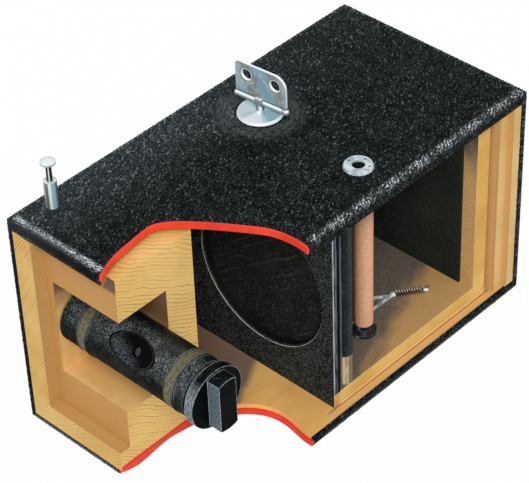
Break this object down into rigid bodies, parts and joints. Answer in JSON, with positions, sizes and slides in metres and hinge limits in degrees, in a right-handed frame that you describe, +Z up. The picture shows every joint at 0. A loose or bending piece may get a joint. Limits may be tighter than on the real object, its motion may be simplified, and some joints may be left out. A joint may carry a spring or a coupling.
{
  "type": "sectioned box roll-film camera",
  "caption": "Cutaway box camera: leather-covered wooden case with a broken corner, turning barrel shutter, mask, film spools, guide rollers, winding key and string pull.",
  "frame": {"origin": "centre of the underside of the case", "axes": "+Z up, +Y towards the back of the case, -Y the way the lens faces, +X towards the open side"},
  "size_m": [0.084, 0.165, 0.1066],
  "materials": {
    "black_leather": "pebbled, worn grey on its edges",
    "pale_wood": "bare sawn and planed wood, end grain and diagonal grain on the cut faces",
    "amber_wood": "bare wood, amber",
    "red_paint": "red paint on the broken edges",
    "black_wood": "black stained and waxed, slightly worn",
    "aged_brass": "dull, darkened",
    "glass": "clear, polished",
    "steel": "drawn steel",
    "nickel": "nickel plated",
    "blued_steel": "grey-blue sheet steel",
    "spring_steel": "dark spring wire",
    "matt_black": "thin board painted matt black, grey where the edges are rubbed",
    "ebonite": "black hard rubber, low gloss",
    "spool_wood": "turned wood, warm copper brown",
    "brass": "drawn brass tube"
  },
  "bodies": {
    "case": {"leather_top": "black_leather", "leather_left": "black_leather", "leather_bottom": "black_leather", "leather_back": "black_leather", "top_board": "pale_wood", "left_board": "pale_wood", "bottom_board": "amber_wood", "back_board_outer": "pale_wood", "back_board_inner": "amber_wood", "front_stile": "pale_wood", "front_sill": "pale_wood", "front_header": "amber_wood", "shutter_block": "pale_wood", "trim_top": "red_paint", "trim_bottom": "red_paint", "pull_sleeve": "nickel", "holder_base": "pale_wood", "holder_backboard": "pale_wood", "holder_top": "amber_wood", "holder_lining": "matt_black", "mask_board": "matt_black", "platen": "matt_black", "roller_sleeves": "brass", "roller_pins": "steel", "supply_pin": "steel", "wind_pin": "steel", "ring_plate": "nickel", "ring_screws": "steel", "brake_pin": "steel", "brake_spring": "spring_steel", "spring_peg": "nickel"},
    "shutter": {"barrel": "black_wood", "barrel_bands": "aged_brass", "lens": "glass", "lens_ring": "aged_brass", "trunnion": "steel", "string_drum": "aged_brass", "shutter_knob": "black_wood"},
    "pull": {"pull_stem": "nickel", "pull_head": "nickel"},
    "supply_spool": {"supply_core": "spool_wood", "supply_hubs": "ebonite"},
    "winder": {"wind_core": "spool_wood", "wind_hubs": "ebonite", "key_shaft": "blued_steel"},
    "flag": {"key_flag": "blued_steel", "key_rod": "nickel"},
    "guide_right": {"roller_right": "ebonite"},
    "guide_left": {"roller_left": "ebonite"},
    "brake": {"brake_lever": "blued_steel"}
  },
  "joints": [
    {"name": "shutter_turn", "type": "hinge", "parent": "case", "child": "shutter", "pos_m": [0.005, -0.0672, 0.046], "axis": [1, 0, 0], "range_deg": [-100, 100]},
    {"name": "pull_slide", "type": "slide", "parent": "case", "child": "pull", "axis": [0, 0, 1], "range_m": [-0.004, 0.004]},
    {"name": "supply_turn", "type": "hinge", "parent": "case", "child": "supply_spool", "pos_m": [0.0238, 0.0177, 0.045], "axis": [0, 0, 1], "continuous": true},
    {"name": "winder_turn", "type": "hinge", "parent": "case", "child": "winder", "pos_m": [-0.0192, 0.0135, 0.045], "axis": [0, 0, 1], "continuous": true},
    {"name": "flag_fold", "type": "hinge", "parent": "winder", "child": "flag", "pos_m": [-0.0192, 0.0135, 0.0925], "axis": [0.9956, 0.0941, 0], "range_deg": [-85, 85]},
    {"name": "guide_right_turn", "type": "hinge", "parent": "case", "child": "guide_right", "pos_m": [0.0354, -0.0053, 0.045], "axis": [0, 0, 1], "continuous": true},
    {"name": "guide_left_turn", "type": "hinge", "parent": "case", "child": "guide_left", "pos_m": [-0.035, -0.0053, 0.045], "axis": [0, 0, 1], "continuous": true},
    {"name": "brake_swing", "type": "hinge", "parent": "case", "child": "brake", "pos_m": [0.0128, 0.0303, 0.0108], "axis": [0, 0, 1], "range_deg": [-8, 0], "stiffness_Nm_per_rad": 0.002, "springref_deg": 5.73, "deforming": ["brake_spring"]}
  ],
  "couplings": [
    {"joint": "pull_slide", "follows": "shutter_turn", "m_per_rad": -0.0022}
  ]
}
